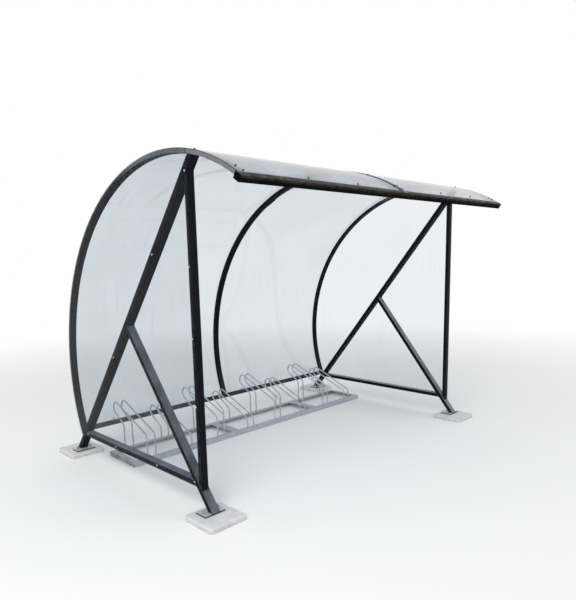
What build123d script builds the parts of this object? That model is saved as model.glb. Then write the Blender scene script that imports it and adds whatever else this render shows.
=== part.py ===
import math
import os

from build123d import *

os.makedirs("parts", exist_ok=True)

# All sizes are in millimetres. X runs along the shelter, Y from the open front to the back,
# Z up from the ground. The origin is at the middle of the footprint.

# Shelter as a whole
bay_length = 1475            # hoop to hoop
bow_centre_y = -360.5
bow_centre_z = 818
bow_long_radius = 1436
bow_short_radius = 1364
bow_tilt = 45.8              # degrees, of the short radius above the horizontal
bow_front_angle = 77.3       # degrees from the short radius, to the middle of the front rail
bow_rear_angle = 69.7        # the same, to the middle of the rear rail

# Steel sections, width along X and depth in the plane of the end frame
bow_width = 50
bow_depth = 25
brace_width = 60
brace_depth = 35
post_width = 50
post_depth = 30
bottom_rail_width = 60
bottom_rail_depth = 35
front_rail_width = 50
front_rail_depth = 42
rear_rail_width = 40
rear_rail_depth = 30

# End frames
rear_foot_reach = 80.0       # rear foot behind the middle of the rear rail
front_foot_y = -784
brace_top_y = -740
strut_top_z = 1143
post_setback = 88            # post behind the front foot
bottom_rail_z = 200

# Feet
pad_length = 280
pad_height = 35
pad_corner = 26
pad_edge = 12
plate_length = 155
plate_depth = 100
plate_thickness = 10
front_pad_lead = 20          # pad centre ahead of the foot
rear_pad_lag = 21            # pad centre behind the foot
right_front_pad_drift = -20  # this pad was not laid quite under its frame

# Clear sheets and trim
sheet_thickness = 4
panel_thickness = 4
sheet_lip = 3
seam_gap = 6
strip_width = 44
strip_thickness = 2
cap_thickness = 3

# Bicycle rack
holder_pitch = 350
holder_count = 8
holders_per_section = 3      # the last section takes what is left
rack_shift = 37              # rack centre to the right of the shelter's centre
rack_depth = 396
rail_clearance = 9           # curls in front of the rear rail
angle_leg = 40
angle_thickness = 4
wire_diameter = 12
wire_spacing = 74
wire_setback = 32            # front legs of the wires behind the rack's front face
wire_rear_inset = 8
low_drop = 98                # low holders under the high ones
front_knee_z = 221
rear_knee_z = 235
curl_reach = 489             # upper corner of the curl behind the front legs
curl_z = 423
curl_width = 95
wire_bend = 44

# Clearance between pieces that are welded, screwed or laid on one another
gap = 0.3

end_x = bay_length
outer_x = bay_length + bow_width / 2
floor_z = pad_height + plate_thickness
post_y = front_foot_y + post_setback


# The bow: points, tangents and normals of the hoops' centre line

def bow_frame(angle):
    """Point, forward tangent and outward normal at an angle from the short radius."""
    tilt = math.radians(bow_tilt)
    along = math.radians(angle)

    def turned(u, v):
        return (u * math.cos(tilt) - v * math.sin(tilt), u * math.sin(tilt) + v * math.cos(tilt))

    offset = turned(bow_short_radius * math.cos(along), bow_long_radius * math.sin(along))
    slope = turned(-bow_short_radius * math.sin(along), bow_long_radius * math.cos(along))
    length = math.hypot(*slope)
    tangent = (slope[0] / length, slope[1] / length)
    point = (bow_centre_y + offset[0], bow_centre_z + offset[1])
    return point, tangent, (tangent[1], -tangent[0])


def step(point, *moves):
    """A point moved by (direction, distance) pairs."""
    y, z = point
    for direction, distance in moves:
        y, z = y + direction[0] * distance, z + direction[1] * distance
    return y, z


front_point, front_tangent, front_normal = bow_frame(bow_front_angle)
rear_point, rear_tangent, rear_normal = bow_frame(-bow_rear_angle)
rear_foot_y = rear_point[0] + rear_foot_reach


def bow_clip(front_reach, rear_reach):
    """Outline that keeps the bow up to the given reaches past the rails' middles."""
    inside, outside = -bow_long_radius / 4, bow_long_radius / 8
    steps = 10
    outline = [
        step(rear_point, (rear_tangent, -rear_reach), (rear_normal, inside)),
        step(rear_point, (rear_tangent, -rear_reach), (rear_normal, outside)),
    ]
    for i in range(1, steps):
        angle = -bow_rear_angle + (bow_front_angle + bow_rear_angle) * i / steps
        point, _, normal = bow_frame(angle)
        outline.append(step(point, (normal, outside)))
    outline.append(step(front_point, (front_tangent, front_reach), (front_normal, outside)))
    outline.append(step(front_point, (front_tangent, front_reach), (front_normal, inside)))
    return outline


def bow_band(inner, outer, front_reach, rear_reach):
    """Sketch of a band along the bow, between two offsets from its centre line."""
    with Locations((bow_centre_y, bow_centre_z)):
        Ellipse(bow_short_radius + outer, bow_long_radius + outer, rotation=bow_tilt)
        Ellipse(bow_short_radius + inner, bow_long_radius + inner, rotation=bow_tilt, mode=Mode.SUBTRACT)
    Polygon(*bow_clip(front_reach, rear_reach), align=None, mode=Mode.INTERSECT)


# Straight members of the end frames, as edges in the Y-Z plane

def edge(start, end, shift=0):
    """A line from start towards end, shifted to its left."""
    length = math.dist(start, end)
    along = ((end[0] - start[0]) / length, (end[1] - start[1]) / length)
    left = (-along[1], along[0])
    return step(start, (left, shift)), along


def meet(first, second):
    """Where two edges cross."""
    (p, d), (q, e) = first, second
    turn = d[0] * e[1] - d[1] * e[0]
    distance = ((q[0] - p[0]) * e[1] - (q[1] - p[1]) * e[0]) / turn
    return step(p, (d, distance))


def bow_height(y, offset):
    """Height of the upper bow above a point, found by halving the angle."""
    low, high = 0, 90
    for _ in range(50):
        middle = (low + high) / 2
        point, _, normal = bow_frame(middle)
        low, high = (middle, high) if step(point, (normal, offset))[0] > y else (low, middle)
    return step(point, (normal, offset))[1]


rear_foot = (rear_foot_y, floor_z)
front_foot = (front_foot_y, floor_z)
brace_top = (brace_top_y, bow_height(brace_top_y, -bow_depth / 2))
half_brace = brace_depth / 2
floor_edge = edge((0, floor_z + gap), (1, floor_z + gap))

# Seen along the brace from its foot, the front of the shelter is on the left
brace_front = edge(rear_foot, brace_top, half_brace)
brace_rear = edge(rear_foot, brace_top, -half_brace)
brace_front_seat = edge(rear_foot, brace_top, half_brace + gap)
brace_rear_seat = edge(rear_foot, brace_top, -half_brace - gap)

strut_top = meet(edge(rear_foot, brace_top), edge((0, strut_top_z), (1, strut_top_z)))
strut_front = edge(front_foot, strut_top, half_brace)
strut_rear = edge(front_foot, strut_top, -half_brace)
strut_front_seat = edge(front_foot, strut_top, half_brace + gap)
strut_rear_seat = edge(front_foot, strut_top, -half_brace - gap)

post_front = edge((post_y - post_depth / 2, 0), (post_y - post_depth / 2, 1))
post_rear = edge((post_y + post_depth / 2, 0), (post_y + post_depth / 2, 1))
rail_top = edge((0, bottom_rail_z + bottom_rail_depth / 2), (1, bottom_rail_z + bottom_rail_depth / 2))
rail_low = edge((0, bottom_rail_z - bottom_rail_depth / 2), (1, bottom_rail_z - bottom_rail_depth / 2))

# The brace in two lengths: up to the strut's top, and from there past the bow that trims it
beyond_bow = edge((0, brace_top[1] + bow_depth * 4), (1, brace_top[1] + bow_depth * 4))
brace_split = edge((0, strut_top_z), (1, strut_top_z))
lower_brace_outline = [
    meet(brace_front, floor_edge),
    meet(brace_rear, floor_edge),
    meet(brace_rear, brace_split),
    meet(brace_front, brace_split),
]
upper_brace_outline = [
    meet(brace_front, brace_split),
    meet(brace_rear, brace_split),
    meet(brace_rear, beyond_bow),
    meet(brace_front, beyond_bow),
]
strut_outline = [
    meet(strut_front, floor_edge),
    meet(strut_rear, floor_edge),
    meet(strut_rear, brace_front_seat),
    meet(strut_front, brace_front_seat),
]
post_outline = [
    meet(post_front, strut_front_seat),
    meet(post_rear, strut_front_seat),
    meet(post_rear, brace_front_seat),
    meet(post_front, brace_front_seat),
]
bottom_rail_outline = [
    meet(rail_low, strut_rear_seat),
    meet(rail_top, strut_rear_seat),
    meet(rail_top, brace_front_seat),
    meet(rail_low, brace_front_seat),
]

# The hoops of the end frames are cut to the brace at their lower end
mitre_top = (0, strut_top_z / 2)
mitre_outline = [
    meet(brace_rear_seat, edge(mitre_top, (1, mitre_top[1]))),
    meet(brace_rear_seat, edge((0, -strut_top_z), (1, -strut_top_z))),
    (0, -strut_top_z),
    mitre_top,
]


# End frames, left and right

for side, name in ((-1, "left"), (1, "right")):

    def member_plane(width):
        """Plane whose extrusion by width ends flush with the frame's outer face."""
        return Plane.YZ.offset(-outer_x if side < 0 else outer_x - width)

    with BuildPart() as hoop:
        with BuildSketch(member_plane(bow_width)):
            bow_band(-bow_depth / 2, bow_depth / 2,
                     -front_rail_width / 2 - gap, rear_rail_width * 3)
            Polygon(*mitre_outline, align=None, mode=Mode.SUBTRACT)
        extrude(amount=bow_width)
    hoop.part.label = f"{name}_hoop"
    export_step(hoop.part, f"parts/{name}_hoop.step")

    with BuildPart() as brace:
        with BuildSketch(member_plane(brace_width)):
            Polygon(*upper_brace_outline, align=None)
            with Locations((bow_centre_y, bow_centre_z)):
                Ellipse(bow_short_radius - bow_depth / 2 - gap, bow_long_radius - bow_depth / 2 - gap,
                        rotation=bow_tilt, mode=Mode.INTERSECT)
            Polygon(*lower_brace_outline, align=None)
        extrude(amount=brace_width)
    brace.part.label = f"{name}_brace"
    export_step(brace.part, f"parts/{name}_brace.step")

    with BuildPart() as strut:
        with BuildSketch(member_plane(brace_width)):
            Polygon(*strut_outline, align=None)
        extrude(amount=brace_width)
    strut.part.label = f"{name}_strut"
    export_step(strut.part, f"parts/{name}_strut.step")

    with BuildPart() as post:
        with BuildSketch(member_plane(post_width)):
            Polygon(*post_outline, align=None)
        extrude(amount=post_width)
    post.part.label = f"{name}_post"
    export_step(post.part, f"parts/{name}_post.step")

    with BuildPart() as bottom_rail:
        with BuildSketch(member_plane(bottom_rail_width)):
            Polygon(*bottom_rail_outline, align=None)
        extrude(amount=bottom_rail_width)
    bottom_rail.part.label = f"{name}_bottom_rail"
    export_step(bottom_rail.part, f"parts/{name}_bottom_rail.step")

    with BuildPart() as end_panel:
        panel_x = outer_x + gap
        with BuildSketch(Plane.YZ.offset(-panel_x - panel_thickness if side < 0 else panel_x)):
            with Locations((bow_centre_y, bow_centre_z)):
                Ellipse(bow_short_radius + bow_depth / 2, bow_long_radius + bow_depth / 2,
                        rotation=bow_tilt)
            panel_front = post_y - post_depth / 2
            panel_low = bottom_rail_z - bottom_rail_depth / 2
            with Locations((panel_front, panel_low)):
                Rectangle(bow_long_radius * 3, bow_long_radius * 3, align=(Align.MIN, Align.MIN),
                          mode=Mode.INTERSECT)
        extrude(amount=panel_thickness)
    end_panel.part.label = f"{name}_end_panel"
    export_step(end_panel.part, f"parts/{name}_end_panel.step")

    # A plate starts flush with the outer side of its leg and reaches towards the frame's middle
    front_plate_edge = meet(strut_front, floor_edge)[0]
    rear_plate_edge = meet(brace_rear, floor_edge)[0]
    front_drift = right_front_pad_drift if side > 0 else 0
    feet = (
        ("front", front_plate_edge + plate_depth / 2, front_foot_y - front_pad_lead, front_drift),
        ("rear", rear_plate_edge - plate_depth / 2, rear_foot_y + rear_pad_lag, 0),
    )
    for end, plate_y, pad_y, drift in feet:
        with BuildPart() as foot_plate:
            with Locations((side * end_x, plate_y, pad_height + gap)):
                Box(plate_length, plate_depth, plate_thickness - gap,
                    align=(Align.CENTER, Align.CENTER, Align.MIN))
        foot_plate.part.label = f"{name}_{end}_foot_plate"
        export_step(foot_plate.part, f"parts/{name}_{end}_foot_plate.step")

        with BuildPart() as pad:
            with Locations((side * end_x + drift, pad_y, 0)):
                Box(pad_length, pad_length, pad_height, align=(Align.CENTER, Align.CENTER, Align.MIN))
            fillet(pad.edges().filter_by(Axis.Z), radius=pad_corner)
            fillet(pad.faces().sort_by(Axis.Z)[-1].edges(), radius=pad_edge)
        pad.part.label = f"{name}_{end}_pad"
        export_step(pad.part, f"parts/{name}_{end}_pad.step")


# Middle hoop, which stands on the rear rail

with BuildPart() as middle_hoop:
    with BuildSketch(Plane.YZ.offset(-bow_width / 2)):
        bow_band(-bow_depth / 2, bow_depth / 2, -front_rail_width / 2 - gap, -rear_rail_width / 2 - gap)
    extrude(amount=bow_width)
middle_hoop.part.label = "middle_hoop"
export_step(middle_hoop.part, "parts/middle_hoop.step")


# Rails, with their outer face just under the sheets

def rail_outline(point, tangent, normal, width, depth):
    top = bow_depth / 2 - gap
    return [
        step(point, (tangent, -width / 2), (normal, top)),
        step(point, (tangent, width / 2), (normal, top)),
        step(point, (tangent, width / 2), (normal, top - depth)),
        step(point, (tangent, -width / 2), (normal, top - depth)),
    ]


front_rail_outline = rail_outline(front_point, front_tangent, front_normal,
                                  front_rail_width, front_rail_depth)
rear_rail_outline = rail_outline(rear_point, rear_tangent, rear_normal,
                                 rear_rail_width, rear_rail_depth)

with BuildPart() as front_rail:
    with BuildSketch(Plane.YZ.offset(-outer_x)):
        Polygon(*front_rail_outline, align=None)
    extrude(amount=outer_x * 2)
front_rail.part.label = "front_rail"
export_step(front_rail.part, "parts/front_rail.step")

for side, name in ((-1, "left"), (1, "right")):
    cap_x = outer_x + gap
    with BuildPart() as rail_cap:
        with BuildSketch(Plane.YZ.offset(-cap_x - cap_thickness if side < 0 else cap_x)):
            Polygon(*front_rail_outline, align=None)
        extrude(amount=cap_thickness)
    rail_cap.part.label = f"{name}_rail_cap"
    export_step(rail_cap.part, f"parts/{name}_rail_cap.step")

rear_rail_end = end_x - bow_width / 2 - gap
with BuildPart() as rear_rail:
    with BuildSketch(Plane.YZ.offset(-rear_rail_end)):
        Polygon(*rear_rail_outline, align=None)
    extrude(amount=rear_rail_end * 2)
rear_rail.part.label = "rear_rail"
export_step(rear_rail.part, "parts/rear_rail.step")


# Clear roof sheets, one a bay, and the strip over their seam

sheet_inner = bow_depth / 2 + gap
sheet_outer = sheet_inner + sheet_thickness
front_reach = front_rail_width / 2 + sheet_lip
rear_reach = rear_rail_width / 2 + sheet_lip
sheet_length = outer_x - seam_gap / 2

for side, name in ((-1, "left"), (1, "right")):
    with BuildPart() as roof_sheet:
        with BuildSketch(Plane.YZ.offset(-outer_x if side < 0 else seam_gap / 2)):
            bow_band(sheet_inner, sheet_outer, front_reach, rear_reach)
        extrude(amount=sheet_length)
    roof_sheet.part.label = f"{name}_roof_sheet"
    export_step(roof_sheet.part, f"parts/{name}_roof_sheet.step")

strip_inner = sheet_outer + gap
with BuildPart() as seam_strip:
    with BuildSketch(Plane.YZ.offset(-strip_width / 2)):
        bow_band(strip_inner, strip_inner + strip_thickness, front_reach, rear_reach)
    extrude(amount=strip_width)
seam_strip.part.label = "seam_strip"
export_step(seam_strip.part, "parts/seam_strip.step")


# Bicycle rack: welded frames of steel angle, bolted end to end. It stands so that the curls of
# the wheel holders clear the rear rail.

slope = math.atan2(curl_z - front_knee_z, curl_reach)
curl_tip = curl_reach + curl_width * math.sin(slope) / 2 + wire_diameter / 2 \
    + (curl_width / 2 - wire_bend) * (1 - math.cos(slope))
nearest_rail_y = min(y for y, z in rear_rail_outline)
front_leg_y = nearest_rail_y - rail_clearance - curl_tip
rack_front_y = front_leg_y - wire_setback
rack_rear_y = rack_front_y + rack_depth
rack_left = rack_shift - holder_pitch * holder_count / 2

for section, name in enumerate(("left", "middle", "right")):
    first_place = section * holders_per_section
    places = min(holders_per_section, holder_count - first_place)
    section_length = holder_pitch * places - gap
    section_middle = (rack_left + holder_pitch * (first_place + places / 2), rack_front_y + rack_depth / 2)
    inner_length = section_length - angle_thickness * 2
    inner_depth = rack_depth - angle_thickness * 2
    with BuildPart() as rack_frame:
        with Locations((*section_middle, 0)):
            Box(section_length, rack_depth, angle_leg, align=(Align.CENTER, Align.CENTER, Align.MIN))
            Box(section_length - angle_leg * 2, rack_depth - angle_leg * 2, angle_leg * 3,
                mode=Mode.SUBTRACT)
        with Locations((*section_middle, 0)):
            Box(inner_length, inner_depth, angle_leg - angle_thickness,
                align=(Align.CENTER, Align.CENTER, Align.MIN), mode=Mode.SUBTRACT)
    rack_frame.part.label = f"rack_frame_{name}"
    export_step(rack_frame.part, f"parts/rack_frame_{name}.step")


# Wheel holders: two wires side by side, bent up, back into a curl and down again

rear_leg_y = rack_rear_y - wire_rear_inset
wire_foot_z = angle_leg + gap

for place in range(holder_count):
    drop = low_drop if place % 2 else 0
    curl_top = (front_leg_y + curl_reach, curl_z - drop)
    curl_end = step(curl_top, ((math.sin(slope), -math.cos(slope)), curl_width))
    wire_points = [
        (front_leg_y, wire_foot_z),
        (front_leg_y, front_knee_z - drop),
        curl_top,
        curl_end,
        (rear_leg_y, rear_knee_z - drop),
        (rear_leg_y, wire_foot_z),
    ]
    holder_x = rack_left + holder_pitch * (place + 0.5)
    with BuildPart() as wheel_holder:
        for wire_x in (holder_x - wire_spacing / 2, holder_x + wire_spacing / 2):
            with BuildLine(Plane.YZ.offset(wire_x)) as wire_path:
                FilletPolyline(*wire_points, radius=wire_bend)
            with BuildSketch(Plane((wire_x, front_leg_y, wire_foot_z))):
                Circle(wire_diameter / 2)
            sweep(path=wire_path.wires()[0])
    wheel_holder.part.label = f"wheel_holder_{place + 1}"
    export_step(wheel_holder.part, f"parts/wheel_holder_{place + 1}.step")
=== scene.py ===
import math

import bmesh
import bpy
from mathutils import Matrix, Vector, noise
from mathutils.bvhtree import BVHTree


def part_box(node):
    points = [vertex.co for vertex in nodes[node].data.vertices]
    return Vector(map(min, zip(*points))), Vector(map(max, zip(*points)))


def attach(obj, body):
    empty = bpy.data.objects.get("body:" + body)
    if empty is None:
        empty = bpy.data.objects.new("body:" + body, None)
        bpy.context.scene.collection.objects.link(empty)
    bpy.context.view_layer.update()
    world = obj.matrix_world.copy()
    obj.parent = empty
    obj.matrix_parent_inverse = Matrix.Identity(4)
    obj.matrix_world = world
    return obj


# Bike shelter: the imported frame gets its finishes, then its screws, bolts and welds.
# Everything is in metres: X along the shelter, Y from the open front to the back, Z up.

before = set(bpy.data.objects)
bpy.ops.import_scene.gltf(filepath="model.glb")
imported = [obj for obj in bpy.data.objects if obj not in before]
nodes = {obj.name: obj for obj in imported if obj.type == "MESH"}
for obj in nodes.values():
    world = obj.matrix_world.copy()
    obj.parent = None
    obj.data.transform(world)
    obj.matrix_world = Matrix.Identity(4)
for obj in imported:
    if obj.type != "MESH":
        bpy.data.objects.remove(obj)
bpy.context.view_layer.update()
scene = bpy.context.scene
sides = {"left": -1, "right": 1}
print("frame loaded,", len(nodes), "nodes")


# Short ways to write shader nodes

def addNode(tree, kind, inputs=None, **settings):
    node = tree.nodes.new("ShaderNode" + kind)
    for name, value in settings.items():
        setattr(node, name, value)
    for name, value in (inputs or {}).items():
        fill(tree, node.inputs[name], value)
    return node


def fill(tree, socket, value):  # links a socket, or sets it
    if isinstance(value, bpy.types.NodeSocket):
        tree.links.new(value, socket)
    elif isinstance(value, tuple) and socket.type == "RGBA":
        socket.default_value = (*value, 1)
    else:
        socket.default_value = value


def calc(tree, operation, first, second=0.0):
    return addNode(tree, "Math", {0: first, 1: second}, operation=operation).outputs[0]


def multiply(tree, value, *factors):
    for factor in factors:
        value = calc(tree, "MULTIPLY", value, factor)
    return value


def remap(tree, value, fromLow, fromHigh, toLow=0.0, toHigh=1.0):
    limits = {"Value": value, "From Min": fromLow, "From Max": fromHigh,
              "To Min": toLow, "To Max": toHigh}
    return addNode(tree, "MapRange", limits, interpolation_type="SMOOTHSTEP").outputs["Result"]


def blendColours(tree, mask, under, over):
    return addNode(tree, "Mix", {0: mask, 6: under, 7: over}, data_type="RGBA").outputs[2]


def here(tree):
    return addNode(tree, "TexCoord").outputs["Object"]


def placeAlong(tree, axis):
    return addNode(tree, "SeparateXYZ", {0: here(tree)}).outputs[axis]


def facing(tree, x=0.0, y=0.0, z=0.0):  # how far a face looks along a direction
    normal = addNode(tree, "NewGeometry").outputs["Normal"]
    dot = addNode(tree, "VectorMath", {0: normal, 1: (x, y, z)}, operation="DOT_PRODUCT")
    return dot.outputs["Value"]


def facingEnds(tree, low, high):  # how far a face looks to either end of the shelter
    return remap(tree, calc(tree, "ABSOLUTE", facing(tree, x=1)), low, high)


def clouds(tree, place, scale, detail, roughness=0.5):
    inputs = {"Vector": place, "Scale": scale, "Detail": detail, "Roughness": roughness}
    return addNode(tree, "TexNoise", inputs).outputs["Fac"]


def patches(tree, scale, detail, roughness, low, high, least=0.0, most=1.0):
    # noise that gives least below low and most above high
    return remap(tree, clouds(tree, here(tree), scale, detail, roughness), low, high, least, most)


def dots(tree, scale, rim, middle, most=1.0):  # a round dot in each cell
    cells = addNode(tree, "TexVoronoi", {"Vector": here(tree), "Scale": scale})
    return remap(tree, cells.outputs["Distance"], rim, middle, 0, most)


def addBump(tree, shader, height, depth, strength=1.0):
    bump = addNode(tree, "Bump", {"Height": height, "Distance": depth, "Strength": strength})
    fill(tree, shader.inputs["Normal"], bump.outputs["Normal"])


def newGroup(name, inputs, outputs):
    tree = bpy.data.node_groups.new(name, "ShaderNodeTree")
    for label, value in inputs.items():
        socket = tree.interface.new_socket(label, in_out="INPUT", socket_type="NodeSocketFloat")
        socket.default_value = value
    for label in outputs:
        tree.interface.new_socket(label, in_out="OUTPUT", socket_type="NodeSocketFloat")
    given = tree.nodes.new("NodeGroupInput").outputs
    return tree, given, tree.nodes.new("NodeGroupOutput").inputs


def useGroup(tree, group, values):
    node = tree.nodes.new("ShaderNodeGroup")
    node.node_tree = group
    for name, value in values.items():
        fill(tree, node.inputs[name], value)
    return node.outputs


def newMaterial(name, look):
    material = bpy.data.materials.new(name)
    material.use_nodes = True
    material.diffuse_color = (*look["colour"], 1)
    tree = material.node_tree
    return material, tree, tree.nodes["Principled BSDF"]


# Shared effects, each a group that puts out a mask or a height

effects = {
    "edgeAgreement": (0.995, 0.9),        # of true and rounded normals: on a face, at an edge
    "edgeSamples": 4,
    "edgePatches": (5, 0.5, 0.48, 0.62),  # patches without a scale: detail, roughness, low, high
    "dustAndSheenSlope": (0.12, 0.95),            # how far up a bare face, and a face with the whole dust and painted sheen, look
    "dustAndSheenPatches": (6, 0.6, 0.3, 0.7),
    "streakNoise": (3, 0.55),             # detail, roughness
    "streakRange": (0.45, 0.72),          # low, high
    "streakFade": (2.2, 3, 0.5, 0.35, 0.65),
    "splashPatches": (6, 0.65, 0.4, 0.65),
    "coarseDetail": 3,
    "fineDetail": 2,
}


def edgeWearGroup():  # where the finish is thin over an edge, broken up by noise
    inputs = {"Reach": 0.006, "Patches": 40, "Amount": 1}
    tree, given, out = newGroup("edge wear", inputs, ["Mask"])
    rounded = addNode(tree, "Bevel", {"Radius": given["Reach"]}, samples=effects["edgeSamples"])
    normal = addNode(tree, "NewGeometry").outputs["Normal"]
    agree = addNode(tree, "VectorMath", {0: rounded.outputs["Normal"], 1: normal},
                    operation="DOT_PRODUCT").outputs["Value"]
    edge = remap(tree, agree, *effects["edgeAgreement"])
    thin = patches(tree, given["Patches"], *effects["edgePatches"])
    tree.links.new(multiply(tree, edge, thin, given["Amount"]), out["Mask"])
    return tree


def dustAndSheenGroup():  # dust settling on faces that look up, in soft patches; on the frame paint also painted sky light
    tree, given, out = newGroup("dustAndSheen", {"Scale": 6, "Least": 0.2, "Amount": 1}, ["Mask"])
    dustAndSheenMask = remap(tree, facing(tree, z=1), *effects["dustAndSheenSlope"])
    uneven = patches(tree, given["Scale"], *effects["dustAndSheenPatches"], given["Least"], 1)
    tree.links.new(multiply(tree, dustAndSheenMask, uneven, given["Amount"]), out["Mask"])
    return tree


def streaksGroup():  # rain marks: noise drawn out along the way the water runs
    inputs = {"Across X": 1, "Across Y": 1, "Across Z": 0.05, "Scale": 30, "Amount": 1}
    tree, given, out = newGroup("rain streaks", inputs, ["Mask"])
    across = addNode(tree, "CombineXYZ", {axis: given["Across " + axis] for axis in "XYZ"})
    place = addNode(tree, "VectorMath", {0: here(tree), 1: across.outputs[0]},
                    operation="MULTIPLY").outputs["Vector"]
    streaks = remap(tree, clouds(tree, place, given["Scale"], *effects["streakNoise"]),
                    *effects["streakRange"])
    fade = patches(tree, *effects["streakFade"])
    tree.links.new(multiply(tree, streaks, fade, given["Amount"]), out["Mask"])
    return tree


def splashGroup():  # dirt thrown up from the ground
    tree, given, out = newGroup("splash", {"Height": 0.25, "Scale": 60, "Amount": 1}, ["Mask"])
    near = remap(tree, placeAlong(tree, "Z"), given["Height"], 0)
    spots = patches(tree, given["Scale"], *effects["splashPatches"])
    tree.links.new(multiply(tree, near, spots, given["Amount"]), out["Mask"])
    return tree


def grainGroup():  # coarse and fine relief of a surface
    inputs = {"Coarse Scale": 60, "Fine Scale": 600, "Fine Share": 0.4}
    tree, given, out = newGroup("grain", inputs, ["Height"])
    coarse = clouds(tree, here(tree), given["Coarse Scale"], effects["coarseDetail"])
    fine = clouds(tree, here(tree), given["Fine Scale"], effects["fineDetail"])
    both = calc(tree, "ADD", coarse, multiply(tree, fine, given["Fine Share"]))
    tree.links.new(both, out["Height"])
    return tree


edgeWear = edgeWearGroup()
dustAndSheen = dustAndSheenGroup()
rainStreaks = streaksGroup()
splash = splashGroup()
grain = grainGroup()
print("shared effects built")


# Powder-coated steel of the frame.
# Fading, mottling, smears and the like are patches: scale, detail, roughness, low, high, and
# least and most where they are given.

paintLook = {
    # colour and fadedColour are darker than the anthracite paint itself: painted shade over the
    # whole frame
    "colour": (0.0042, 0.0050, 0.0072),
    "fadedColour": (0.0070, 0.0082, 0.0110),
    "fading": (3.5, 5, 0.6, 0.35, 0.7),
    # the blue-grey dust is also painted sky light on the frame's upward faces
    "dustAndSheenColour": (0.24, 0.27, 0.32),
    "wornColour": (0.070, 0.075, 0.080),
    "coverColour": (0.10, 0.115, 0.10),   # of what a mask lays over the paint: film on the rails, painted sky reflection on the end hoops
    "coverDark": (0.020, 0.017, 0.013),
    "mottling": (26, 8, 0.72, 0.36, 0.66, 0.05, 0.9),
    "roughness": (0.36, 0.46),            # least and most, in smears
    "smears": (18, 5, 0.6, 0.3, 0.75),
    "dustRoughness": 0.66,
    "specular": 0.05,
    "dustAndSheen": 0.85,
    "dustAndSheenScale": 9,
    "leastDustAndSheen": 0.55,
    "wear": 0.12,
    "runs": 0.022,
    "runScale": 45,
    "splash": 0.05,
    "peel": {"Coarse Scale": 170, "Fine Scale": 900, "Fine Share": 0.05},
    "peelDepth": 0.000014,
}
# The front rail's top lies under the roof sheets; its pale dust is also a painted reflection of the
# sky in the sheets above it
frontRailLook = dict(paintLook, dustAndSheenColour=(0.56, 0.59, 0.63), dustAndSheen=1.0, specular=0.0,
                     coverColour=(0.080, 0.068, 0.047), coverDark=(0.006, 0.005, 0.004))
# On the end hoops the cover colours are a painted reflection of the sky
hoopLook = dict(paintLook, coverColour=(0.185, 0.19, 0.21), coverDark=(0.135, 0.14, 0.155))
# The right end's strut and bottom rail get a paler dust coat on every upward face: painted
# highlights along their tops
rightEndHighlightLook = dict(paintLook, dustAndSheenColour=(0.37, 0.40, 0.45), dustAndSheen=1.0, runs=0.014, splash=0.033)


def paint(name, look, coverMask=None, dustAndSheenLimit=None):
    material, tree, shader = newMaterial(name, look)
    colour = blendColours(tree, patches(tree, *look["fading"]), look["colour"], look["fadedColour"])
    worn = useGroup(tree, edgeWear, {"Amount": look["wear"]})["Mask"]
    colour = blendColours(tree, worn, colour, look["wornColour"])
    runs = useGroup(tree, rainStreaks, {"Scale": look["runScale"], "Amount": look["runs"]})["Mask"]
    colour = blendColours(tree, runs, colour, look["dustAndSheenColour"])
    # the cover is a film on the rails, and a painted sky reflection on the end hoops
    if coverMask:
        mottled = patches(tree, *look["mottling"])
        cover = blendColours(tree, mottled, look["coverColour"], look["coverDark"])
        colour = blendColours(tree, coverMask(tree), colour, cover)
    # dust, and on the frame paint also painted sky light, on the faces that look up
    inputs = {"Scale": look["dustAndSheenScale"], "Least": look["leastDustAndSheen"], "Amount": look["dustAndSheen"]}
    dustAndSheenMask = useGroup(tree, dustAndSheen, inputs)["Mask"]
    if dustAndSheenLimit:
        dustAndSheenMask = multiply(tree, dustAndSheenMask, dustAndSheenLimit(tree))
    thrown = useGroup(tree, splash, {"Amount": look["splash"]})["Mask"]
    dirtAndSheen = calc(tree, "MAXIMUM", dustAndSheenMask, thrown)
    fill(tree, shader.inputs["Base Color"], blendColours(tree, dirtAndSheen, colour, look["dustAndSheenColour"]))
    smears = patches(tree, *look["smears"], *look["roughness"])
    rough = remap(tree, dirtAndSheen, 0, 1, smears, look["dustRoughness"])
    fill(tree, shader.inputs["Roughness"], rough)
    shader.inputs["Specular IOR Level"].default_value = look["specular"]
    addBump(tree, shader, useGroup(tree, grain, look["peel"])["Height"], look["peelDepth"])
    return material


# Where the weather shows on the rails, and where a sky reflection is painted on the end hoops

weatherAndSheen = {
    "filmBand": (0.048, 0.026),      # below the front rail's top: no film, whole film
    "filmFacing": (0.2, 0.6),
    "filmPatches": (22, 6, 0.6, 0.25, 0.5, 0.6, 1),
    "paleTop": (0.004, 0.034),     # behind the front rail's face: bare, then pale with dust and painted sky reflection
    "rearFilm": (1.25, 0.85),        # from the rear rail's left end: no film, whole film
    "rearPatches": (16, 6, 0.6, 0.35, 0.6, 0.45, 1),
    "sheenFrom": 0.16,            # of the end hoops' painted sky reflection, forwards over the top
    "sheenTo": -0.22,
    "sheenFacing": (0.5, 0.8),
}
frontRailLow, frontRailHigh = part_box("front_rail")
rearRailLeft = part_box("rear_rail")[0].x


def frontRailFilm(tree):  # dark film under the drip edge of the front rail
    low, high = [frontRailHigh.z - drop for drop in weatherAndSheen["filmBand"]]
    band = remap(tree, placeAlong(tree, "Z"), low, high)
    ragged = patches(tree, *weatherAndSheen["filmPatches"])
    front = remap(tree, facing(tree, y=-1), *weatherAndSheen["filmFacing"])
    return multiply(tree, band, ragged, front)


def frontRailDustAndSheen(tree):  # rain keeps the outer part of its top clean of dust, and the painted sky reflection stops there too
    low, high = [frontRailLow.y + inset for inset in weatherAndSheen["paleTop"]]
    return remap(tree, placeAlong(tree, "Y"), low, high)


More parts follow.
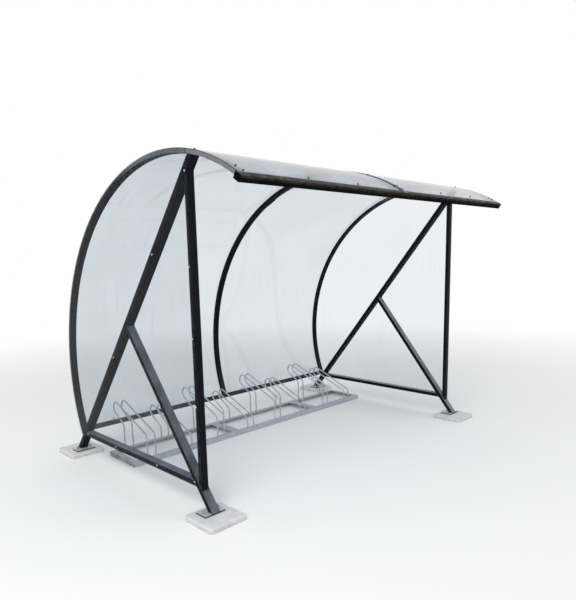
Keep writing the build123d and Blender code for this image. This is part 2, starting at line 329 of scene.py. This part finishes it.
def rearRailFilm(tree):  # the film on the left part of the rear rail
    low, high = [rearRailLeft + reach for reach in weatherAndSheen["rearFilm"]]
    nearEnd = remap(tree, placeAlong(tree, "X"), low, high)
    return multiply(tree, nearEnd, patches(tree, *weatherAndSheen["rearPatches"]))


def hoopSkySheen(tree):  # painted sky reflection on the end hoops' outer sides, over the top and towards the front
    top = remap(tree, placeAlong(tree, "Y"), weatherAndSheen["sheenFrom"], weatherAndSheen["sheenTo"])
    return multiply(tree, top, facingEnds(tree, *weatherAndSheen["sheenFacing"]))


framePaint = paint("frame_paint", paintLook)
hoopPaint = paint("hoop_paint", hoopLook, hoopSkySheen)
frontRailPaint = paint("front_rail_paint", frontRailLook, frontRailFilm, frontRailDustAndSheen)
rearRailPaint = paint("rear_rail_paint", paintLook, rearRailFilm)
rightEndHighlightPaint = paint("right_end_highlight_paint", rightEndHighlightLook)
print("frame paint made")


# Zinc: the rack and its wires, the brighter foot plates, and the screws

zincLook = {                              # what all zinc has in common
    "darkShare": 0.6,
    "bloom": (24, 6, 0.65, 0.5, 0.72),
    "bloomShare": 0.6,
    "dustAndSheen": {"Scale": 20, "Amount": 0.2},
    "splash": {"Height": 0.12, "Scale": 110, "Amount": 0.2},
    "sideShadeFacing": (0.7, 0.3),
    "dirtRoughness": 0.68,
    "grain": {"Coarse Scale": 180, "Fine Scale": 1100, "Fine Share": 0.5},
    "grainDepth": 0.0002,
    "grainStrength": 0.8,
}
rackZinc = dict(
    zincLook,
    colour=(0.475, 0.50, 0.55),
    darkColour=(0.36, 0.385, 0.43),
    bloomColour=(0.61, 0.63, 0.67),
    dirtColour=(0.30, 0.295, 0.285),
    # the colour that the outer side of the left end darkens to
    filmColour=(0.13, 0.155, 0.14),
    metallic=0.3,
    roughness=(0.38, 0.52),               # of light and dark crystals
    spangle=85,
)
plateZinc = dict(
    zincLook,
    colour=(0.60, 0.615, 0.63),
    darkColour=(0.46, 0.475, 0.49),
    bloomColour=(0.74, 0.75, 0.76),
    dirtColour=(0.30, 0.28, 0.25),
    sideShadeColour=(0.045, 0.045, 0.047),     # of the sawn edges: painted shade, darker than the plates' tops
    metallic=0.5,
    roughness=(0.46, 0.60),
    spangle=70,
)
screwZinc = dict(
    zincLook,
    colour=(0.55, 0.56, 0.57),
    darkColour=(0.42, 0.43, 0.44),
    bloomColour=(0.60, 0.60, 0.60),
    dirtColour=(0.20, 0.19, 0.18),
    metallic=0.9,
    roughness=(0.32, 0.46),
    spangle=300,
)
rackEndDarker = {
    "inset": (0.008, 0.003),              # from the rack's left end: none, whole darkening
    "facing": (0.1, 0.5),
    "patches": (26, 7, 0.68, 0.36, 0.6, 0.1, 1),
}
rackLow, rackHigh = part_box("rack_frame_left")


def zinc(name, look, darkerMask=None):
    material, tree, shader = newMaterial(name, look)
    crystals = addNode(tree, "TexVoronoi", {"Vector": here(tree), "Scale": look["spangle"]})
    shade = addNode(tree, "SeparateColor", {0: crystals.outputs["Color"]}).outputs[0]
    darker = remap(tree, shade, 0, 1, 0, look["darkShare"])
    colour = blendColours(tree, darker, look["colour"], look["darkColour"])
    bloom = patches(tree, *look["bloom"])
    colour = blendColours(tree, multiply(tree, bloom, look["bloomShare"]), colour,
                          look["bloomColour"])
    dustAndSheenMask = useGroup(tree, dustAndSheen, look["dustAndSheen"])["Mask"]
    dirtAndSheen = calc(tree, "MAXIMUM", dustAndSheenMask, useGroup(tree, splash, look["splash"])["Mask"])
    colour = blendColours(tree, dirtAndSheen, colour, look["dirtColour"])
    # painted shade on the faces that do not look up
    if "sideShadeColour" in look:
        side = remap(tree, facing(tree, z=1), *look["sideShadeFacing"])
        colour = blendColours(tree, side, colour, look["sideShadeColour"])
    if darkerMask:
        colour = blendColours(tree, darkerMask(tree), colour, look["filmColour"])
    fill(tree, shader.inputs["Base Color"], colour)
    shader.inputs["Metallic"].default_value = look["metallic"]
    rough = remap(tree, shade, 0, 1, *look["roughness"])
    dull = calc(tree, "MAXIMUM", dirtAndSheen, bloom)
    fill(tree, shader.inputs["Roughness"], remap(tree, dull, 0, 1, rough, look["dirtRoughness"]))
    relief = useGroup(tree, grain, look["grain"])["Height"]
    addBump(tree, shader, relief, look["grainDepth"], look["grainStrength"])
    return material


def rackEndDarkening(tree):  # darker and greener on the outer side of the rack's left end
    low, high = [rackLow.x + inset for inset in rackEndDarker["inset"]]
    outer = remap(tree, placeAlong(tree, "X"), low, high)
    ragged = patches(tree, *rackEndDarker["patches"])
    return multiply(tree, outer, ragged, remap(tree, facing(tree, x=-1), *rackEndDarker["facing"]))


galvanised = zinc("galvanised_steel", rackZinc, rackEndDarkening)
platePlated = zinc("galvanised_plate", plateZinc)
screwMetal = zinc("screw_steel", screwZinc)
print("zinc made")


# Cast concrete of the pads

padLook = {
    "colour": (0.64, 0.65, 0.675),
    "paleColour": (0.75, 0.76, 0.785),
    "mottling": (14, 8, 0.62, 0.32, 0.68),
    "greyColour": (0.47, 0.475, 0.49),
    "sand": (420, 3, 0.6, 0.42, 0.62, 0, 0.55),
    "stainColour": (0.33, 0.28, 0.23),
    "stains": (9, 6, 0.7, 0.6, 0.78, 0, 0.6),
    "splash": {"Height": 0.03, "Scale": 70, "Amount": 0.55},
    "poreShadeColour": (0.20, 0.19, 0.18),
    "pores": (95, 0.16, 0.1),             # scale, rim, middle
    "poreFields": (30, 2, 0.5, 0.5, 0.6),
    "poreDepth": 2.0,                     # against the grain's height
    "roughness": (0.86, 0.76),
    "grain": {"Coarse Scale": 120, "Fine Scale": 700, "Fine Share": 0.6},
    "grainDepth": 0.0007,
}


def concrete(name, look):
    material, tree, shader = newMaterial(name, look)
    mottle = patches(tree, *look["mottling"])
    colour = blendColours(tree, mottle, look["colour"], look["paleColour"])
    colour = blendColours(tree, patches(tree, *look["sand"]), colour, look["greyColour"])
    colour = blendColours(tree, patches(tree, *look["stains"]), colour, look["stainColour"])
    thrown = useGroup(tree, splash, look["splash"])["Mask"]
    colour = blendColours(tree, thrown, colour, look["stainColour"])
    holes = multiply(tree, dots(tree, *look["pores"]), patches(tree, *look["poreFields"]))
    # the pores are darkened: painted shade in the holes
    colour = blendColours(tree, holes, colour, look["poreShadeColour"])
    fill(tree, shader.inputs["Base Color"], colour)
    fill(tree, shader.inputs["Roughness"], remap(tree, mottle, 0, 1, *look["roughness"]))
    relief = useGroup(tree, grain, look["grain"])["Height"]
    height = calc(tree, "SUBTRACT", relief, multiply(tree, holes, look["poreDepth"]))
    addBump(tree, shader, height, look["grainDepth"])
    return material


padConcrete = concrete("concrete", padLook)
print("concrete made")


# Clear sheets: polycarbonate with a film of dust and rain marks, frosted on its sawn edges

roofLook = {
    "colour": (0.78, 0.82, 0.86),
    "filmColour": (0.66, 0.69, 0.73),
    "film": 0.5,
    "streaks": {"Across X": 1.0, "Across Y": 0.05, "Across Z": 0.05, "Scale": 38},
    "haze": (1.6, 5, 0.6, 0.3, 0.75, 0.15, 0.8),
    "dropMarks": (210, 0.22, 0.1, 0.35),  # scale, rim, middle, most
    "dustAndSheenColour": (0.43, 0.49, 0.57),
    "dustAndSheen": {"Scale": 3, "Least": 0.6, "Amount": 0.9},
    "edgeColour": (0.50, 0.52, 0.55),
    "edgeFacing": (0.5, 0.9),
    "grimeColour": (0.10, 0.095, 0.08),
    "shadowColour": (0.82, 0.85, 0.87),
    "roughness": 0.012,
    "filmRoughness": 0.055,
    "dustRoughness": 0.10,
    "edgeRoughness": 0.5,
    "grimeRoughness": 0.75,
    "ior": 1.3,
    "rippleScale": 2.5,
    "rippleDetail": 2,
    "rippleDepth": 0.002,
    "rippleStrength": 0.25,
}
panelLook = dict(
    roofLook,
    colour=(0.86, 0.885, 0.90),
    filmColour=(0.74, 0.75, 0.76),
    film=0.4,
    streaks={"Across X": 0.0, "Across Y": 1.0, "Across Z": 0.05, "Scale": 38},
    edgeColour=(0.22, 0.23, 0.25),
    edgeFacing=(0.8, 0.4),
    filmRoughness=0.035,
    ior=1.08,                             # low, so what lies behind stays dark
)
roofGrime = {
    "inset": (0.032, 0.018),              # behind the front rail's face: clean, grimy
    "patches": (24, 5, 0.6, 0.3, 0.55, 0.7, 1),
}


def clearSheet(name, look, grimeMask=None):
    material, tree, shader = newMaterial(name, look)
    runs = useGroup(tree, rainStreaks, look["streaks"])["Mask"]
    film = calc(tree, "MAXIMUM", runs, patches(tree, *look["haze"]))
    film = calc(tree, "MAXIMUM", film, dots(tree, *look["dropMarks"]))
    film = multiply(tree, film, look["film"])
    colour = blendColours(tree, film, look["colour"], look["filmColour"])
    dustAndSheenMask = useGroup(tree, dustAndSheen, look["dustAndSheen"])["Mask"]  # what lies on the top of the bow
    colour = blendColours(tree, dustAndSheenMask, colour, look["dustAndSheenColour"])
    rough = remap(tree, film, 0, 1, look["roughness"], look["filmRoughness"])
    rough = remap(tree, dustAndSheenMask, 0, 1, rough, look["dustRoughness"])
    if grimeMask:
        grime = grimeMask(tree)
        colour = blendColours(tree, grime, colour, look["grimeColour"])
        rough = remap(tree, grime, 0, 1, rough, look["grimeRoughness"])
    edge = facingEnds(tree, *look["edgeFacing"])
    colour = blendColours(tree, edge, colour, look["edgeColour"])
    rough = remap(tree, edge, 0, 1, rough, look["edgeRoughness"])
    fill(tree, shader.inputs["Base Color"], colour)
    fill(tree, shader.inputs["Roughness"], rough)
    shader.inputs["Transmission Weight"].default_value = 1
    shader.inputs["IOR"].default_value = look["ior"]
    ripple = clouds(tree, here(tree), look["rippleScale"], look["rippleDetail"])
    addBump(tree, shader, ripple, look["rippleDepth"], look["rippleStrength"])
    rays = addNode(tree, "LightPath").outputs  # light passes straight through, tinted
    passing = calc(tree, "MAXIMUM", rays["Is Shadow Ray"], rays["Is Diffuse Ray"])
    through = addNode(tree, "BsdfTransparent", {"Color": look["shadowColour"]}).outputs[0]
    both = addNode(tree, "MixShader", {0: passing, 1: shader.outputs[0], 2: through}).outputs[0]
    tree.links.new(both, tree.nodes["Material Output"].inputs["Surface"])
    return material


def dripEdgeGrime(tree):  # what the rain leaves on the roof over the front rail
    low, high = [frontRailLow.y + inset for inset in roofGrime["inset"]]
    band = remap(tree, placeAlong(tree, "Y"), low, high)
    return multiply(tree, band, patches(tree, *roofGrime["patches"]))


roofClear = clearSheet("roof_sheet", roofLook, dripEdgeGrime)
panelClear = clearSheet("end_panel_sheet", panelLook)
print("clear sheets made")


# Plastic: black on the rail caps, grey on the roof screws

capPlastic = {
    "colour": (0.003, 0.003, 0.004),
    "fadedColour": (0.007, 0.007, 0.008),
    "fading": (40, 5, 0.5, 0.35, 0.7),
    "dustAndSheenColour": (0.10, 0.10, 0.10),
    "dustAndSheen": {"Scale": 60, "Amount": 0.5},
    "roughness": (0.5, 0.65),
    "specular": 0.0,
    "grain": {"Coarse Scale": 900, "Fine Scale": 2200},
    "grainDepth": 0.0001,
    "grainStrength": 0.7,
}
screwPlastic = dict(capPlastic, colour=(0.050, 0.053, 0.062), fadedColour=(0.075, 0.078, 0.088))


def plastic(name, look):
    material, tree, shader = newMaterial(name, look)
    fading = patches(tree, *look["fading"])
    colour = blendColours(tree, fading, look["colour"], look["fadedColour"])
    dustAndSheenMask = useGroup(tree, dustAndSheen, look["dustAndSheen"])["Mask"]
    colour = blendColours(tree, dustAndSheenMask, colour, look["dustAndSheenColour"])
    fill(tree, shader.inputs["Base Color"], colour)
    fill(tree, shader.inputs["Roughness"], remap(tree, fading, 0, 1, *look["roughness"]))
    shader.inputs["Specular IOR Level"].default_value = look["specular"]
    texture = useGroup(tree, grain, look["grain"])["Height"]
    addBump(tree, shader, texture, look["grainDepth"], look["grainStrength"])
    return material


blackPlastic = plastic("dark_plastic", capPlastic)
greyPlastic = plastic("screw_cap_plastic", screwPlastic)
print("plastic made")


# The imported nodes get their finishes, and their long edges a small round

finishes = {                              # by a name's start or end; the last that fits holds
    "hoop": hoopPaint, "middle_hoop": framePaint, "brace": framePaint, "strut": framePaint,
    "post": framePaint, "bottom_rail": framePaint, "front_rail": frontRailPaint,
    "rear_rail": rearRailPaint, "seam_strip": framePaint, "foot_plate": platePlated,
    "pad": padConcrete, "roof_sheet": roofClear, "end_panel": panelClear,
    "rail_cap": blackPlastic, "rack_frame": galvanised, "wheel_holder": galvanised,
    "right_strut": rightEndHighlightPaint, "right_bottom_rail": rightEndHighlightPaint,
}
rounds = {
    "hoop": 0.0025, "brace": 0.0025, "strut": 0.0025, "post": 0.0025, "bottom_rail": 0.0025,
    "front_rail": 0.0025, "rear_rail": 0.002, "foot_plate": 0.0012, "rack_frame": 0.0012,
}
rounding = {"steps": 2, "edgeAngle": 40, "seamWidth": 0.00001}


def roundEdges(node, width):
    weld = node.modifiers.new("close seams", "WELD")
    weld.merge_threshold = rounding["seamWidth"]
    bevel = node.modifiers.new("round edges", "BEVEL")
    bevel.width, bevel.segments, bevel.limit_method = width, rounding["steps"], "ANGLE"
    bevel.angle_limit = math.radians(rounding["edgeAngle"])
    normals = node.modifiers.new("even shading", "WEIGHTED_NORMAL")
    normals.keep_sharp = True


for name, node in nodes.items():
    for part, material in finishes.items():
        if name.startswith(part) or name.endswith(part):
            node.data.materials.clear()
            node.data.materials.append(material)
    for part, width in rounds.items():
        if name.startswith(part) or name.endswith(part):
            roundEdges(node, width)
print("packed nodes dressed")


# Making small pieces

def standOn(point, normal, turn=0.0):
    facingUp = Vector(normal).to_track_quat("Z", "Y").to_matrix().to_4x4()
    return Matrix.Translation(point) @ facingUp @ Matrix.Rotation(turn, 4, "Z")


def circle(count):
    return [2 * math.pi * i / count for i in range(count)]


def addTurned(shape, profile, place, count):  # a profile of (radius, height) turned round Z
    rings = []
    for radius, height in profile:
        points = [Vector((radius * math.cos(t), radius * math.sin(t), height))
                  for t in circle(count)]
        rings.append([shape.verts.new(place @ point) for point in points])
    for lower, upper in zip(rings, rings[1:]):
        for i in range(count):
            j = (i + 1) % count
            shape.faces.new((lower[i], lower[j], upper[j], upper[i]))
    shape.faces.new(rings[0][::-1])
    shape.faces.new(rings[-1])


def scaled(profile, size):
    return [(radius * size, height * size) for radius, height in profile]


def addPiece(name, shape, material, sharp=35):
    mesh = bpy.data.meshes.new(name)
    shape.to_mesh(mesh)
    shape.free()
    for face in mesh.polygons:
        face.use_smooth = True
    mesh.set_sharp_from_angle(angle=math.radians(sharp))
    mesh.materials.append(material)
    piece = bpy.data.objects.new(name, mesh)
    scene.collection.objects.link(piece)
    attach(piece, "root")
    return piece


def surfaceOf(name):
    mesh = nodes[name].data
    faces = [face.vertices[:] for face in mesh.polygons]
    return BVHTree.FromPolygons([vertex.co for vertex in mesh.vertices], faces)


# Screws through the roof sheets: dark hexagon heads on domed washers.
# Angles go from the back, over the top, to the front rail.

roofScrews = {
    "middle": (-0.36, 0.82),              # of the bow: Y and Z
    "reach": 3.0,
    "railAngle": 122.6,
    "leftPlaces": (-1.450, -0.952, -0.487),
    "rightAngle": 121.7,
    "rightPlaces": (0.575, 1.050, 1.450),
    "cornerAngle": 120.3,
    "cornerX": 1.459,
    "hoopAngles": (-20, 1, 22, 43, 64, 85, 106),
    "hoopX": 1.471,
    "stripAngles": (-16, 5, 26, 47, 68, 89, 110),
    "stripEnds": ((-0.016, 120.5), (0.016, 120.5), (-0.016, 122.7), (0.016, 122.7)),
    "rearAngle": -23.5,
    "rearPlaces": (-1.2, -0.72, -0.24, 0.24, 0.72, 1.2),
    "washer": 0.0070,
    "washerSides": 20,
    "head": 0.0043,
    "headSides": 6,
    "seat": 0.32,                         # of the washer's radius, under the head
}
washerProfile = ((1.0, 0.0), (1.0, 0.12), (0.86, 0.26), (0.62, 0.34))
headProfile = ((1.0, 0.0), (1.0, 0.75), (0.86, 0.95))


def addRoofScrew(shape, surface, x, angle, turn):
    y, z = roofScrews["middle"]
    outward = Vector((0, math.cos(math.radians(angle)), math.sin(math.radians(angle))))
    start = Vector((x, y, z)) + outward * roofScrews["reach"]
    point, normal, _, _ = surface.ray_cast(start, -outward)
    washer, head = roofScrews["washer"], roofScrews["head"]
    place = standOn(point, normal)
    addTurned(shape, scaled(washerProfile, washer), place, roofScrews["washerSides"])
    place = standOn(point + normal * washer * roofScrews["seat"], normal, turn)
    addTurned(shape, scaled(headProfile, head), place, roofScrews["headSides"])


shape = bmesh.new()
leftSheet, rightSheet = surfaceOf("left_roof_sheet"), surfaceOf("right_roof_sheet")
strip = surfaceOf("seam_strip")
places = [(x, roofScrews["railAngle"]) for x in roofScrews["leftPlaces"]]
places += [(x, roofScrews["rightAngle"]) for x in roofScrews["rightPlaces"]]
places += [(sign * roofScrews["cornerX"], roofScrews["cornerAngle"]) for sign in sides.values()]
for sign in sides.values():
    places += [(sign * roofScrews["hoopX"], angle) for angle in roofScrews["hoopAngles"]]
places += [(x, roofScrews["rearAngle"]) for x in roofScrews["rearPlaces"]]
for number, (x, angle) in enumerate(places):
    addRoofScrew(shape, leftSheet if x < 0 else rightSheet, x, angle, number)
onStrip = [(0, angle) for angle in roofScrews["stripAngles"]] + list(roofScrews["stripEnds"])
for number, (x, angle) in enumerate(onStrip):
    addRoofScrew(shape, strip, x, angle, number)
addPiece("roof_screws", shape, greyPlastic)
print("roof screws made")


# Screws of the end panels: bright pan heads with a recess, into the members behind

panelScrews = {
    "places": (                           # Y and Z
        (-0.696, 2.085), (-0.696, 1.545), (-0.696, 1.120), (-0.696, 0.702), (-0.642, 0.210),
        (-0.207, 0.207), (0.364, 0.207), (0.820, 0.207), (-0.281, 0.651), (-0.302, 1.623),
        (0.300, 0.897),
    ),
    "head": 0.0062,
    "sides": 16,
}
panProfile = ((1.0, 0.0), (1.0, 0.22), (0.92, 0.42), (0.70, 0.56), (0.38, 0.62), (0.30, 0.45),
              (0.1, 0.3))

for side, sign in sides.items():
    shape = bmesh.new()
    low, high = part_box(f"{side}_end_panel")
    outerX = low.x if sign < 0 else high.x
    for number, (y, z) in enumerate(panelScrews["places"]):
        place = standOn((outerX, y, z), (sign, 0, 0), number)
        profile = scaled(panProfile, panelScrews["head"])
        addTurned(shape, profile, place, panelScrews["sides"])
    addPiece(f"{side}_panel_screws", shape, screwMetal)
print("end panel screws made")


# Anchor bolts of the feet: washer, nut and stud end on each side of the leg

anchors = {
    "spread": 0.055,
    "turn": 0.4,                          # radians, of the first nut; the second has 1 more
    "washerSides": 24,
    "nutSides": 6,
    "studSides": 16,
    "washer": ((0.0125, 0), (0.0125, 0.0018), (0.011875, 0.0022)),
    "nut": ((0.009114, 0), (0.0098, 0.0008), (0.0098, 0.0085), (0.008624, 0.0098)),
    "stud": 0.006,
    "core": 0.00516,
    "tip": 0.0048,
    "crests": 7,                          # of the thread, above the nut
    "pitch": 0.0015,
    "studHeight": 0.022,
}


def addAnchor(shape, point, turn):
    up = Vector((0, 0, 1))
    washer, nut, pitch = anchors["washer"], anchors["nut"], anchors["pitch"]
    addTurned(shape, washer, standOn(point, up), anchors["washerSides"])
    seat = point + up * washer[-1][1]
    addTurned(shape, nut, standOn(seat, up, turn), anchors["nutSides"])
    thread = []
    for i in range(anchors["crests"]):
        height = nut[-1][1] + i * pitch
        thread += [(anchors["stud"], height), (anchors["core"], height + pitch / 2)]
    thread += [(anchors["tip"], anchors["studHeight"])]
    addTurned(shape, thread, standOn(seat, up), anchors["studSides"])


for side in sides:
    for end in ("front", "rear"):
        low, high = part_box(f"{side}_{end}_foot_plate")
        middle = (low + high) / 2
        shape = bmesh.new()
        for number, sign in enumerate((-1, 1)):
            point = Vector((middle.x + sign * anchors["spread"], middle.y, high.z))
            addAnchor(shape, point, anchors["turn"] + number)
        addPiece(f"{side}_{end}_anchor_bolts", shape, galvanised)
print("anchor bolts made")


# Welds: a rippled bead round the end of each welded member

welds = {
    "radius": 0.003,
    "spacing": 0.0035,
    "sides": 8,
    "ripple": 0.22,
    "rippleTurn": 1.9,                    # radians from one ring to the next
    "unevenness": 0.3,
    "unevenScale": 90,
    "sharp": 80,
}
memberEnds = {                            # the ways the welded ends look
    "brace": ((0, 0, -1),),
    "strut": ((0, 0, -1), (0, 0.65, 0.76)),
    "post": ((0, 0, -1),),
    "bottom_rail": ((0, 1, 0), (0, -1, 0)),
    "hoop": ((0, -0.85, -0.53), (0, -0.77, -0.64)),
}
railEnds = {
    "middle_hoop": ((0, -0.85, -0.53), (0, -0.42, -0.91)),
    "rear_rail": ((-1, 0, 0), (1, 0, 0)),
}
sameFace = {"direction": 0.999, "depth": 0.001, "decimals": 4}


def endLoop(name, towards):  # corners of the flat end of a member, in order
    mesh = nodes[name].data
    aim = Vector(towards).normalized()
    best = max(mesh.polygons, key=lambda face: face.normal.dot(aim))
    flat = [face for face in mesh.polygons
            if face.normal.dot(best.normal) > sameFace["direction"]
            and abs((face.center - best.center).dot(best.normal)) < sameFace["depth"]]
    corners = [mesh.vertices[i].co for face in flat for i in face.vertices]
    points = {tuple(round(c, sameFace["decimals"]) for c in corner) for corner in corners}
    points = [Vector(point) for point in points]
    middle = sum(points, Vector()) / len(points)
    first = (points[0] - middle).normalized()
    second = best.normal.cross(first)
    points.sort(key=lambda p: math.atan2((p - middle).dot(second), (p - middle).dot(first)))
    return points


def addBead(shape, corners):  # a closed rippled bead along the corners
    path = []
    for start, end in zip(corners, corners[1:] + corners[:1]):
        count = max(1, round((end - start).length / welds["spacing"]))
        path += [start.lerp(end, i / count) for i in range(count)]
    rings = []
    for i, point in enumerate(path):
        onward = (path[(i + 1) % len(path)] - path[i - 1]).normalized()
        across = onward.orthogonal().normalized()
        up = onward.cross(across)
        ripple = welds["ripple"] * math.sin(i * welds["rippleTurn"])
        uneven = welds["unevenness"] * noise.noise(point * welds["unevenScale"])
        size = welds["radius"] * (1 + ripple + uneven)
        rings.append([shape.verts.new(point + (across * math.cos(t) + up * math.sin(t)) * size)
                      for t in circle(welds["sides"])])
    for i, ring in enumerate(rings):
        following = rings[(i + 1) % len(rings)]
        start = min(range(len(ring)), key=lambda k: (following[k].co - ring[0].co).length)
        for k in range(len(ring)):
            m = (k + 1) % len(ring)
            shape.faces.new((ring[k], ring[m], following[(m + start) % len(ring)],
                             following[(k + start) % len(ring)]))


for side in sides:
    shape = bmesh.new()
    for member, ends in memberEnds.items():
        for towards in ends:
            addBead(shape, endLoop(f"{side}_{member}", towards))
    addPiece(f"{side}_frame_welds", shape, framePaint, welds["sharp"])
shape = bmesh.new()
for name, ends in railEnds.items():
    for towards in ends:
        addBead(shape, endLoop(name, towards))
addPiece("rail_welds", shape, framePaint, welds["sharp"])
print("frame welds made")


# Rack: welds at the feet of the wires, and the bolts that join its sections

rackFittings = {
    "wireInset": 0.006,                   # middle of a wire, from its outside
    "rearLegInset": 0.008,
    "collarTurn": 50,                     # radians a metre, so that no two look the same
    "collarSides": 14,
    "collarSharp": 60,
    "bolt": 0.0065,
    "boltSides": 12,
    "boltHeight": 0.017,
    "boltInset": 0.09,                    # from the front and the back of the rack
    "boltOut": 0.0042,                    # from the seam between two sections
}
collarProfile = ((0.0102, 0.0), (0.0096, 0.0014), (0.0078, 0.0036), (0.0060, 0.0052))
boltProfile = ((1.5, 0), (1.5, 0.2), (1.02, 0.22), (1.02, 0.8), (0.9, 0.95))

shape = bmesh.new()
wireInset = rackFittings["wireInset"]
for name in sorted(n for n in nodes if n.startswith("wheel_holder")):
    low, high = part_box(name)
    for x in (low.x + wireInset, high.x - wireInset):
        for y in (low.y + wireInset, rackHigh.y - rackFittings["rearLegInset"]):
            place = standOn((x, y, rackHigh.z), (0, 0, 1), rackFittings["collarTurn"] * x)
            addTurned(shape, collarProfile, place, rackFittings["collarSides"])
addPiece("wire_welds", shape, galvanised, rackFittings["collarSharp"])

shape = bmesh.new()
boltInset = rackFittings["boltInset"]
for name in ("rack_frame_left", "rack_frame_middle"):
    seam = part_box(name)[1].x
    for y in (rackLow.y + boltInset, rackHigh.y - boltInset):
        for sign in (-1, 1):
            spot = (seam + sign * rackFittings["boltOut"], y, rackFittings["boltHeight"])
            profile = scaled(boltProfile, rackFittings["bolt"])
            addTurned(shape, profile, standOn(spot, (sign, 0, 0)), rackFittings["boltSides"])
addPiece("rack_section_bolts", shape, galvanised)
print("rack fittings made")


# Studio: pale floor that fades to white, soft light from the left and above

studio = {
    "floorSize": 60.0,
    "floorGrid": 8,
    "floorDrop": 0.0005,
    "floorColour": (0.90, 0.90, 0.90),
    "floorRoughness": 0.9,
    "white": (1.0, 1.0, 1.0),
    "fadeFrom": 2.5,
    "fadeTo": 9.0,
    "ambient": 0.74,
    "keyPlace": (-6.5, -3.0, 6.5),
    "keyPower": 330,
    "fillPlace": (5.0, -6.0, 5.0),
    "fillPower": 60,
    "lampSize": 4.5,
    "lampAim": (0, 0, 1),
}


def seenRays(tree):  # rays that show the background, by themselves or through glass and gloss
    rays = addNode(tree, "LightPath").outputs
    seen = calc(tree, "MAXIMUM", rays["Is Camera Ray"], rays["Is Transmission Ray"])
    return calc(tree, "MAXIMUM", seen, rays["Is Glossy Ray"])


def addLamp(name, place, power):
    lamp = bpy.data.lights.new(name, "AREA")
    lamp.energy, lamp.size = power, studio["lampSize"]
    holder = bpy.data.objects.new(name, lamp)
    holder.location = place
    aim = Vector(studio["lampAim"]) - Vector(place)
    holder.rotation_euler = aim.to_track_quat("-Z", "Y").to_euler()
    scene.collection.objects.link(holder)


shape = bmesh.new()
grid = studio["floorGrid"]
bmesh.ops.create_grid(shape, x_segments=grid, y_segments=grid, size=studio["floorSize"])
mesh = bpy.data.meshes.new("studio_floor")
shape.to_mesh(mesh)
shape.free()
floor = bpy.data.objects.new("studio_floor", mesh)
floor.location.z = -studio["floorDrop"]
scene.collection.objects.link(floor)

floorMaterial, tree, shader = newMaterial("studio_floor", {"colour": studio["floorColour"]})
fill(tree, shader.inputs["Base Color"], studio["floorColour"])
shader.inputs["Roughness"].default_value = studio["floorRoughness"]
shader.inputs["Specular IOR Level"].default_value = 0
distance = addNode(tree, "VectorMath", {0: here(tree)}, operation="LENGTH").outputs["Value"]
white = addNode(tree, "Emission", {"Color": studio["white"], "Strength": 1.0}).outputs[0]
far = remap(tree, distance, studio["fadeFrom"], studio["fadeTo"])
fading = multiply(tree, seenRays(tree), far)
both = addNode(tree, "MixShader", {0: fading, 1: shader.outputs[0], 2: white}).outputs[0]
tree.links.new(both, tree.nodes["Material Output"].inputs["Surface"])
floor.data.materials.append(floorMaterial)

scene.world = bpy.data.worlds.new("studio")
scene.world.use_nodes = True
tree = scene.world.node_tree
tree.nodes.clear()
strength = remap(tree, seenRays(tree), 0, 1, studio["ambient"], 1)
sky = addNode(tree, "Background", {"Color": studio["white"], "Strength": strength})
tree.links.new(sky.outputs[0], addNode(tree, "OutputWorld").inputs["Surface"])

addLamp("key_light", studio["keyPlace"], studio["keyPower"])
addLamp("fill_light", studio["fillPlace"], studio["fillPower"])
scene.view_settings.view_transform = "Standard"
print("studio made")


# Camera, at the photograph's place, direction and lens

viewpoint = {
    "place": (-3.4139, -3.4115, 1.5918),
    "heading": 0.7836887,                 # radians from +Y towards +X
    "down": 0.1629990,
    "tilt": -0.0212679,
    "lens": 33.384,
    "sensorWidth": 36,
    "shiftY": 0.0802,
}
heading, down, tilt = viewpoint["heading"], viewpoint["down"], viewpoint["tilt"]
ahead = Vector((math.sin(heading) * math.cos(down), math.cos(heading) * math.cos(down),
                -math.sin(down)))
level = Vector((math.cos(heading), -math.sin(heading), 0))
right = level * math.cos(tilt) + level.cross(ahead) * math.sin(tilt)
turned = Matrix((right, right.cross(ahead), -ahead)).transposed().to_4x4()
camera = bpy.data.objects.new("camera", bpy.data.cameras.new("camera"))
camera.matrix_world = Matrix.Translation(viewpoint["place"]) @ turned
camera.data.sensor_width = viewpoint["sensorWidth"]
camera.data.lens = viewpoint["lens"]
camera.data.shift_y = viewpoint["shiftY"]
scene.collection.objects.link(camera)
scene.camera = camera
print("camera set")
